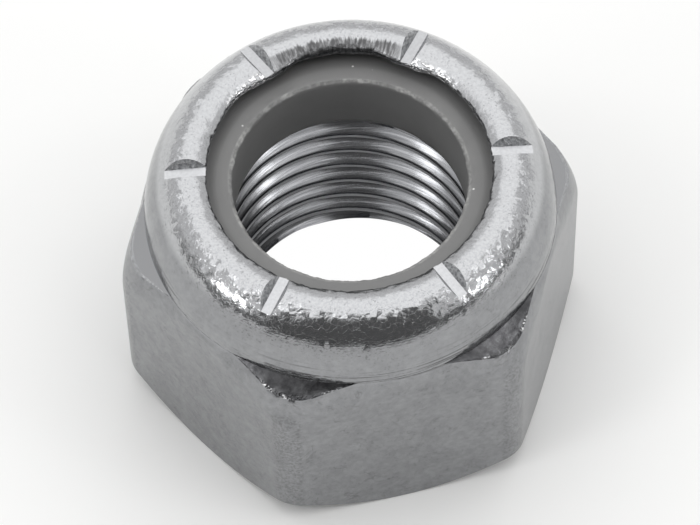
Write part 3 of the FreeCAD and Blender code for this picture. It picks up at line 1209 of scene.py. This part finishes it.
def struck_zinc(finishes):
    """Zinc plate in the struck marks: pressed flat on the floor, a little torn on the walls."""
    material, tree = new_material("zinc_plated_struck_mark")
    place = add_node(tree, "ShaderNodeTexCoord")["Object"]
    upwards = add_node(tree, "ShaderNodeNewGeometry")["True Normal"]
    upright = add_node(tree, "ShaderNodeSeparateXYZ", {0: upwards})[2]
    wall = add_node(
        tree, "ShaderNodeMapRange", {"Value": upright, "From Min": 0.85, "From Max": 0.7}
    )[0]
    torn, grain = (
        add_node(
            tree,
            "ShaderNodeTexNoise",
            {"Vector": place, "Scale": 1 / width, "Detail": 3.0, "Roughness": roughness},
        )["Fac"]
        for width, roughness in ((0.14 * MM, 0.6), (0.09 * MM, 0.5))
    )
    # What differs between floor and wall: how worn the plate is, how deep the tears, how dull.
    worn, tear_depth, roughness = (
        add_node(tree, "ShaderNodeMapRange", {"Value": wall, "To Min": floor, "To Max": top})[0]
        for floor, top in ((0.2, 1.0), (0.03, 1.0), (0.3, 0.42))
    )
    tears = add_node(tree, "ShaderNodeMapRange", {"Value": torn, "From Min": 0.4, "From Max": 0.65})[0]
    factor = add_node(tree, "ShaderNodeMath", {0: worn, 1: tears}, operation="MULTIPLY")[0]
    links = {"Factor": factor, "A": tuple(finishes.struck), "B": tuple(finishes.zinc_worn)}
    shade = add_node(tree, "ShaderNodeMix", links, data_type="RGBA")[2]
    layers = ((torn, 0.08 * MM, tear_depth), (grain, 0.004 * MM, 0.4))
    finish_surface(tree, shade, roughness, layers, Metallic=1.0)
    return material


def moulded_nylon(finishes, at):
    """Grey nylon, moulded and shaved: smooth and dull, with a pale torn line at the bore's edge."""
    material, tree = new_material("grey_nylon")
    place, reach, height, _ = cylinder_places(tree)
    bore, top = at["ring_bore"], at["ring_top"]
    cloud, grain, shreds, tufts = (
        add_node(
            tree,
            "ShaderNodeTexNoise",
            {"Vector": place, "Scale": 1 / width, "Detail": detail, "Roughness": roughness},
        )["Fac"]
        for width, detail, roughness in (
            (2.2 * MM, 3.0, 0.5),
            (0.1 * MM, 2.0, 0.5),
            (0.22 * MM, 4.0, 0.65),
            (1.3 * MM, 2.0, 0.5),
        )
    )
    # Dust: white specks a tenth of a millimetre across, a handful of them on the ring's top.
    specks = add_node(
        tree, "ShaderNodeTexVoronoi", {"Vector": place, "Scale": 1 / (1.0 * MM)}, feature="F1"
    )["Distance"]
    # Masks: a value, two levels of it, and what the mask is at each of the two.
    levels = {
        "cloud": (cloud, 0.0, 1.0, 0.0, 0.2),
        "bore_edge": (reach, bore + 0.2 * MM, bore + 0.12 * MM, 0.0, 1.0),
        "top_edge": (height, top - 0.16 * MM, top - 0.1 * MM, 0.0, 1.0),
        "shreds": (shreds, 0.42, 0.6, 0.25, 1.0),
        "tufts": (tufts, 0.4, 0.6, 0.3, 1.0),
        "specks": (specks, 0.075, 0.05, 0.0, 1.0),
        "off_edge": (reach, bore + 0.1 * MM, bore + 0.2 * MM, 0.0, 1.0),
    }
    mask = {}
    for label, (value, start, end, low, high) in levels.items():
        links = {"Value": value, "From Min": start, "From Max": end, "To Min": low, "To Max": high}
        mask[label] = add_node(tree, "ShaderNodeMapRange", links)[0]
    edge = mask["bore_edge"]
    for label in ("top_edge", "shreds", "tufts"):
        edge = add_node(tree, "ShaderNodeMath", {0: edge, 1: mask[label]}, operation="MULTIPLY")[0]
    dust = add_node(
        tree, "ShaderNodeMath", {0: mask["specks"], 1: mask["off_edge"]}, operation="MULTIPLY"
    )[0]
    shade = tuple(finishes.nylon)
    for factor, over in (
        (mask["cloud"], finishes.nylon_burr),
        (edge, finishes.nylon_burr),
        (dust, finishes.dust),
    ):
        links = {"Factor": factor, "A": shade, "B": tuple(over)}
        shade = add_node(tree, "ShaderNodeMix", links, data_type="RGBA")[2]
    finish_surface(
        tree, shade, 0.55, ((grain, 0.004 * MM, 0.5), (shreds, 0.04 * MM, edge)), IOR=1.53
    )
    return material


class LOCKNUT_OT_body(bpy.types.Operator):
    """Makes the steel body: hexagon, collar, thread and marks in one closed mesh"""

    bl_idname = "lock_nut.body"
    bl_label = "Nut Body"

    def execute(self, context):
        scene = context.scene
        hexagon, collar = scene.lock_nut_hexagon, scene.lock_nut_collar
        thread, marks = scene.lock_nut_thread, scene.lock_nut_marks
        at = body_lines(context)
        rows = body_section(context)
        mark_rise = 2 * marks.depth
        lift = mark_rise / 2 / math.cos(marks.fall)
        mark_height = collar.nut_height - marks.depth + lift
        places = []
        for azimuth in MARK_AZIMUTHS:
            a = math.radians(azimuth)
            places.append(
                (
                    at["crown_centre"][0] * math.cos(a),
                    at["crown_centre"][0] * math.sin(a),
                    mark_height,
                )
            )
        mesh = section_mesh("body_section", rows, GUIDES + BANDS, places)
        layer = mesh.attributes.new("azimuth", "FLOAT", "POINT")
        layer.data.foreach_set(
            "value", [0.0] * len(rows) + [math.radians(a) for a in MARK_AZIMUTHS]
        )
        bulging = mesh.attributes.new("bulging", "BOOLEAN", "POINT")
        bulging.data.foreach_set(
            "value", [False] * len(rows) + [a in BULGED_MARKS for a in MARK_AZIMUTHS]
        )
        inputs = {
            "Segments": scene.lock_nut_fineness.segments,
            "Rows": len(rows),
            "Flat Radius": at["flat_radius"],
            "Corner Radius": hexagon.corner_radius,
            "Bearing Radius": at["bearing_radius"],
            "Collar Radius": at["collar_radius"],
            "Hexagon Height": at["hexagon_height"],
            "Shoulder Angle": hexagon.shoulder_angle,
            "Top Corner Radius": hexagon.top_corner_radius,
            "Shoulder Roll": hexagon.shoulder_roll,
            "Roll Angle": hexagon.roll_angle,
            "Rim Burr": hexagon.rim_burr,
            "Lip Bulge": collar.lip_bulge,
            "Lip Waver": collar.lip_waver,
            "Crown Dents": collar.crown_dents,
            "Pitch": thread.pitch,
            "Major Radius": at["major_radius"],
            "Mouth Radius": at["countersink_radius"],
            "Ring Seat": at["ring_floor"],
            "Countersink Slope": -math.tan(thread.countersink_angle),
            "Lead-out Slope": math.tan(thread.lead_out_angle),
            "Mark Length": 2 * collar.crown_inset,
            "Mark Width": marks.width,
            "Mark Rise": mark_rise,
            "Mark Flare": marks.flare,
            "Mark Fall": marks.fall,
        }
        finishes = scene.lock_nut_finishes
        materials = {
            "zinc": zinc_plate(finishes, at),
            "tapped": tapped_zinc(finishes),
            "struck": struck_zinc(finishes),
            "pressed": pressed_zinc(finishes),
        }
        tree = body_tree(inputs, materials)
        piece = grown(mesh, "steel_body", tree, inputs)
        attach(piece, "root")
        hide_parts("nut_body")
        return {"FINISHED"}


class LOCKNUT_OT_ring(bpy.types.Operator):
    """Makes the nylon ring that the collar holds"""

    bl_idname = "lock_nut.ring"
    bl_label = "Nylon Ring"

    def execute(self, context):
        scene = context.scene
        ring = scene.lock_nut_ring
        at = body_lines(context)
        bore = at["ring_bore"]
        bevel = ring.edge_bevel
        side = at["pocket_radius"] - ring.side_clearance
        floor, top = at["ring_floor"], at["ring_top"]
        points = [(bore + bevel, floor)]
        points += run_points(points[-1], (side, floor), 3)
        points += run_points(points[-1], (side, at["hexagon_height"]), 2)
        # The top falls away under the lip, and is level over the part that shows.
        droop = (side - ring.shoulder, top - ring.droop)
        points += run_points(points[-1], droop, 4)
        crest = (at["lip_face"] - 0.35 * MM, top)
        points += run_points(points[-1], crest, 8)
        points += run_points(points[-1], (bore + bevel, top), 8)
        edge_start = len(points)
        points += run_points(points[-1], (bore, top - bevel), 4)
        edge_end = len(points)
        points += run_points(points[-1], (bore, floor + bevel), 14)
        points += run_points(points[-1], (bore + bevel, floor), 2)[:-1]
        rows = [{"place": point} for point in points]
        for row in rows[edge_start - 2 : edge_end]:
            row["burr"] = 1.0
        rows[edge_start - 3]["burr"] = rows[edge_end]["burr"] = 0.5
        mesh = section_mesh("ring_section", rows, ("burr",))
        inputs = {
            "Segments": scene.lock_nut_fineness.segments,
            "Rows": len(rows),
            "Burr": ring.burr,
        }
        tree, sizes = new_geometry_tree("Nylon Ring", inputs)
        grid, place, azimuth, pulls = turn_tree(
            tree, sizes["Geometry"], sizes["Segments"], sizes["Rows"], ("burr",)
        )
        # Shaving the bore left its upper edge ragged.
        around = add_node(
            tree,
            "ShaderNodeVectorRotate",
            {"Vector": place, "Angle": azimuth, "Axis": (0.0, 0.0, 1.0)},
            rotation_type="AXIS_ANGLE",
        )[0]
        shreds = add_node(
            tree,
            "ShaderNodeTexNoise",
            {"Vector": around, "Scale": 1 / (0.5 * MM), "Detail": 4.0, "Roughness": 0.7},
        )["Color"]
        centred = add_node(
            tree, "ShaderNodeVectorMath", {0: shreds, 1: (0.5, 0.5, 0.5)}, operation="SUBTRACT"
        )[0]
        spread = add_node(
            tree, "ShaderNodeMath", {0: sizes["Burr"], 1: pulls["burr"]}, operation="MULTIPLY"
        )[0]
        pushed = add_node(
            tree, "ShaderNodeVectorMath", {0: centred, "Scale": spread}, operation="SCALE"
        )[0]
        pushed = add_node(
            tree, "ShaderNodeVectorMath", {0: pushed, 1: (1.0, 0.0, 1.0)}, operation="MULTIPLY"
        )[0]
        place = add_node(tree, "ShaderNodeVectorMath", {0: place, 1: pushed}, operation="ADD")[0]
        body = swept(tree, grid, place, azimuth)
        smooth = add_node(
            tree, "GeometryNodeSetShadeSmooth", {"Geometry": body, "Shade Smooth": True}
        )[0]
        finish_tree(tree, smooth, moulded_nylon(scene.lock_nut_finishes, at))
        piece = grown(mesh, "nylon_ring", tree, inputs)
        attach(piece, "root")
        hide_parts("nylon_insert")
        return {"FINISHED"}


def paper_floor(finishes):
    """Matt white paper, lit from below under the bore and far out, where the lamps don't reach.

    The glow is what the camera and mirrors see; it lights nothing else, so shadows stay.
    """
    material, tree = new_material("matt_paper_sweep")
    place = add_node(tree, "ShaderNodeTexCoord")["Object"]
    parts = add_node(tree, "ShaderNodeSeparateXYZ", {0: place})
    level = add_node(tree, "ShaderNodeCombineXYZ", {0: parts[0], 1: parts[1]})[0]
    reach = add_node(tree, "ShaderNodeVectorMath", {0: level}, operation="LENGTH")["Value"]
    under_bore = add_node(
        tree,
        "ShaderNodeMapRange",
        {"Value": reach, "From Min": 7.6 * MM, "From Max": 6.6 * MM},
        interpolation_type="SMOOTHSTEP",
    )[0]
    far_out = add_node(
        tree,
        "ShaderNodeMapRange",
        {"Value": reach, "From Min": 0.5, "From Max": 2.5},
        interpolation_type="SMOOTHSTEP",
    )[0]
    glowing = add_node(tree, "ShaderNodeMath", {0: under_bore, 1: far_out}, operation="MAXIMUM")[0]
    # Mirrors see the glow too, but weaker under the bore: there the nut shades the real floor.
    ray = add_node(tree, "ShaderNodeLightPath")
    mirrored = add_node(
        tree,
        "ShaderNodeMath",
        {0: ray["Is Glossy Ray"], 1: ray["Is Transmission Ray"]},
        operation="MAXIMUM",
    )[0]
    share = add_node(tree, "ShaderNodeMapRange", {"Value": under_bore, "To Min": 1.0, "To Max": 0.2})[0]
    mirrored = add_node(tree, "ShaderNodeMath", {0: mirrored, 1: share}, operation="MULTIPLY")[0]
    seen = add_node(
        tree, "ShaderNodeMath", {0: ray["Is Camera Ray"], 1: mirrored}, operation="MAXIMUM"
    )[0]
    fibre = add_node(
        tree, "ShaderNodeTexNoise", {"Vector": place, "Scale": 1 / (0.6 * MM), "Detail": 3.0}
    )[0]
    paper = add_node(
        tree,
        "ShaderNodeBsdfPrincipled",
        {
            "Base Color": tuple(finishes.floor),
            "Roughness": 0.9,
            "Specular IOR Level": 0.0,
            "Normal": add_node(
                tree, "ShaderNodeBump", {"Height": fibre, "Distance": 0.01 * MM, "Strength": 0.3}
            )[0],
        },
    )[0]
    glow = add_node(tree, "ShaderNodeEmission", {"Color": (1.0, 1.0, 1.0, 1.0), "Strength": 1.0})[0]
    shader = add_node(
        tree,
        "ShaderNodeMixShader",
        {
            0: add_node(tree, "ShaderNodeMath", {0: glowing, 1: seen}, operation="MULTIPLY")[0],
            1: paper,
            2: glow,
        },
    )[0]
    add_node(tree, "ShaderNodeOutputMaterial", {"Surface": shader})
    return material


def lay_floor(scene):
    """The floor: a flat disc, metres wide, made of rings around the nut."""
    rings = (0.02, 1.0, 4.0)
    steps = 96
    points, faces = [(0.0, 0.0, 0.0)], []
    for radius in rings:
        for step in range(steps):
            a = FULL_TURN * step / steps
            points.append((radius * math.cos(a), radius * math.sin(a), 0.0))
    for step in range(steps):
        following = (step + 1) % steps
        faces.append((0, 1 + step, 1 + following))
        for ring in range(len(rings) - 1):
            inner, outer = 1 + ring * steps, 1 + (ring + 1) * steps
            faces.append((inner + step, outer + step, outer + following, inner + following))
    floor_mesh = bpy.data.meshes.new("studio_floor")
    floor_mesh.from_pydata(points, [], faces)
    floor_mesh.shade_smooth()
    floor = bpy.data.objects.new("studio_floor", floor_mesh)
    scene.collection.objects.link(floor)
    floor_mesh.materials.append(paper_floor(scene.lock_nut_finishes))


def place_camera(scene, studio):
    """The camera, from the photograph's angle. It gives the level directions right and ahead."""
    yaw, pitch, tilt = studio.camera_yaw, studio.camera_pitch, studio.camera_tilt
    ahead = Vector(
        (
            math.sin(yaw) * math.cos(pitch),
            math.cos(yaw) * math.cos(pitch),
            -math.sin(pitch),
        )
    )
    level = Vector((math.cos(yaw), -math.sin(yaw), 0.0))
    upright = level.cross(ahead)
    right = math.cos(tilt) * level + math.sin(tilt) * upright
    up = -math.sin(tilt) * level + math.cos(tilt) * upright
    data = bpy.data.cameras.new("camera")
    data.sensor_width = 36.0
    data.lens = studio.camera_lens
    data.clip_start = 0.01
    data.clip_end = 20.0
    camera = bpy.data.objects.new("camera", data)
    turn = Matrix((right, up, -ahead)).transposed().to_4x4()
    camera.matrix_world = Matrix.Translation(studio.camera_place) @ turn
    scene.collection.objects.link(camera)
    scene.camera = camera
    return level, Vector((math.sin(yaw), math.cos(yaw), 0.0))


def hang_lamps(scene, studio, level, forward):
    """Lamps by azimuth, counted from the camera's right, elevation, distance, width and height.

    They face the nut, but the overhead one hangs level, a little beyond it.
    """
    for name, azimuth, elevation, distance, width, height, radiance in (
        ("overhead_softbox", 90.0, 71.0, 1.3, 2.0, 2.1, studio.overhead_level),
        ("left_low_lamp", 208.0, 17.5, 1.6, 0.46, 0.14, studio.low_level),
        ("right_low_lamp", -25.0, 12.0, 1.6, 0.34, 0.14, studio.low_level),
        ("left_high_lamp", 205.0, 51.0, 1.6, 0.32, 0.34, studio.high_level),
        ("right_high_lamp", -14.0, 47.5, 1.6, 0.25, 0.3, studio.high_level),
    ):
        a, e = math.radians(azimuth), math.radians(elevation)
        out = (level * math.cos(a) + forward * math.sin(a)) * math.cos(e)
        out += Vector((0.0, 0.0, math.sin(e)))
        lamp = bpy.data.lights.new(name, "AREA")
        lamp.shape = "RECTANGLE"
        lamp.size = width
        lamp.size_y = height
        # An area lamp's radiance is its power over pi and its area.
        lamp.energy = radiance * math.pi * width * height
        thing = bpy.data.objects.new(name, lamp)
        thing.location = out * distance
        thing.rotation_mode = "QUATERNION"
        overhead = name == "overhead_softbox"
        facing = Vector((0.0, 0.0, 1.0)) if overhead else out
        across = (level if overhead else Vector((0.0, 0.0, 1.0)).cross(out)).normalized()
        frame_up = facing.cross(across)
        thing.rotation_quaternion = Matrix((across, frame_up, facing)).transposed().to_quaternion()
        thing.visible_camera = False
        scene.collection.objects.link(thing)


def paint_room(scene, studio, level, forward):
    """The world: a pale room that is dark behind the camera.

    The dark is a wedge that has a wide foot and narrows upwards, and a dark skirting runs on
    from there along the horizon.
    """
    world = bpy.data.worlds.new("studio_air")
    world.use_nodes = True
    tree = world.node_tree
    tree.nodes.clear()
    # How far an edge moves for every unit of looking back, or up where the name says so.
    side_back, top_back, foot_back, skirting_back = 0.98, 1.85, 2.1, 0.1
    side_up, foot_up = 0.39, 4.0
    outlook = add_node(tree, "ShaderNodeTexCoord")["Generated"]
    back, aside, above = (
        add_node(
            tree, "ShaderNodeVectorMath", {0: outlook, 1: tuple(axis)}, operation="DOT_PRODUCT"
        )["Value"]
        for axis in (forward, level, Vector((0.0, 0.0, 1.0)))
    )
    off = add_node(tree, "ShaderNodeMath", {0: aside}, operation="ABSOLUTE")[0]
    taper, spread = (
        add_node(tree, "ShaderNodeMath", {0: above, 1: up, 2: off}, operation="MULTIPLY_ADD")[0]
        for up in (side_up, foot_up)
    )
    past_side, past_top, past_foot, above_skirting = (
        add_node(tree, "ShaderNodeMath", {0: back, 1: step, 2: rest}, operation="MULTIPLY_ADD")[0]
        for step, rest in (
            (side_back, taper),
            (top_back, above),
            (foot_back, spread),
            (skirting_back, above),
        )
    )
    past_wedge = add_node(
        tree, "ShaderNodeMath", {0: past_side, 1: past_foot}, operation="MINIMUM"
    )[0]
    past_wedge = add_node(
        tree, "ShaderNodeMath", {0: past_wedge, 1: past_top}, operation="MAXIMUM"
    )[0]
    clear_of_skirting, past_skirting, pale = (
        add_node(
            tree,
            "ShaderNodeMapRange",
            {"Value": value, "From Min": start, "From Max": end},
            interpolation_type=kind,
        )[0]
        for value, start, end, kind in (
            (above_skirting, 0.09, 0.13, "LINEAR"),
            (back, 0.05, 0.4, "LINEAR"),
            (past_wedge, -0.03, 0.05, "SMOOTHSTEP"),
        )
    )
    skirting = add_node(
        tree, "ShaderNodeMath", {0: clear_of_skirting, 1: past_skirting}, operation="MAXIMUM"
    )[0]
    pale = add_node(tree, "ShaderNodeMath", {0: pale, 1: skirting}, operation="MULTIPLY")[0]
    shade = add_node(
        tree,
        "ShaderNodeMix",
        {"Factor": pale, "A": tuple(studio.air), "B": tuple(studio.walls)},
        data_type="RGBA",
    )[2]
    background = add_node(tree, "ShaderNodeBackground", {"Color": shade, "Strength": 1.15})[0]
    add_node(tree, "ShaderNodeOutputWorld", {"Surface": background})
    scene.world = world


class LOCKNUT_OT_stage(bpy.types.Operator):
    """Sets up the pale floor, the camera, the soft lamps and the room around them"""

    bl_idname = "lock_nut.stage"
    bl_label = "Studio"

    def execute(self, context):
        scene = context.scene
        studio = scene.lock_nut_studio
        lay_floor(scene)
        level, forward = place_camera(scene, studio)
        hang_lamps(scene, studio, level, forward)
        paint_room(scene, studio, level, forward)
        scene.view_settings.view_transform = "Standard"
        return {"FINISHED"}


class LOCKNUT_PT_panel(bpy.types.Panel):
    """Sizes, colours and makers of the lock nut"""

    bl_label = "Lock Nut"
    bl_idname = "LOCKNUT_PT_panel"
    bl_space_type = "VIEW_3D"
    bl_region_type = "UI"
    bl_category = "Lock Nut"

    def draw(self, context):
        for operator in OPERATORS:
            self.layout.operator(operator.bl_idname)
        for label, group in GROUPS.items():
            box = self.layout.box()
            for name in group.__annotations__:
                box.prop(getattr(context.scene, label), name)


OPERATORS = (LOCKNUT_OT_body, LOCKNUT_OT_ring, LOCKNUT_OT_stage)
CLASSES = (*GROUPS.values(), *OPERATORS, LOCKNUT_PT_panel)


def register():
    for cls in CLASSES:
        bpy.utils.register_class(cls)
    for label, group in GROUPS.items():
        setattr(bpy.types.Scene, label, bpy.props.PointerProperty(type=group))


def unregister():
    for label in GROUPS:
        delattr(bpy.types.Scene, label)
    for cls in reversed(CLASSES):
        bpy.utils.unregister_class(cls)


def main():
    register()
    bpy.ops.lock_nut.body()
    bpy.ops.lock_nut.ring()
    bpy.ops.lock_nut.stage()


if __name__ == "__main__":
    main()
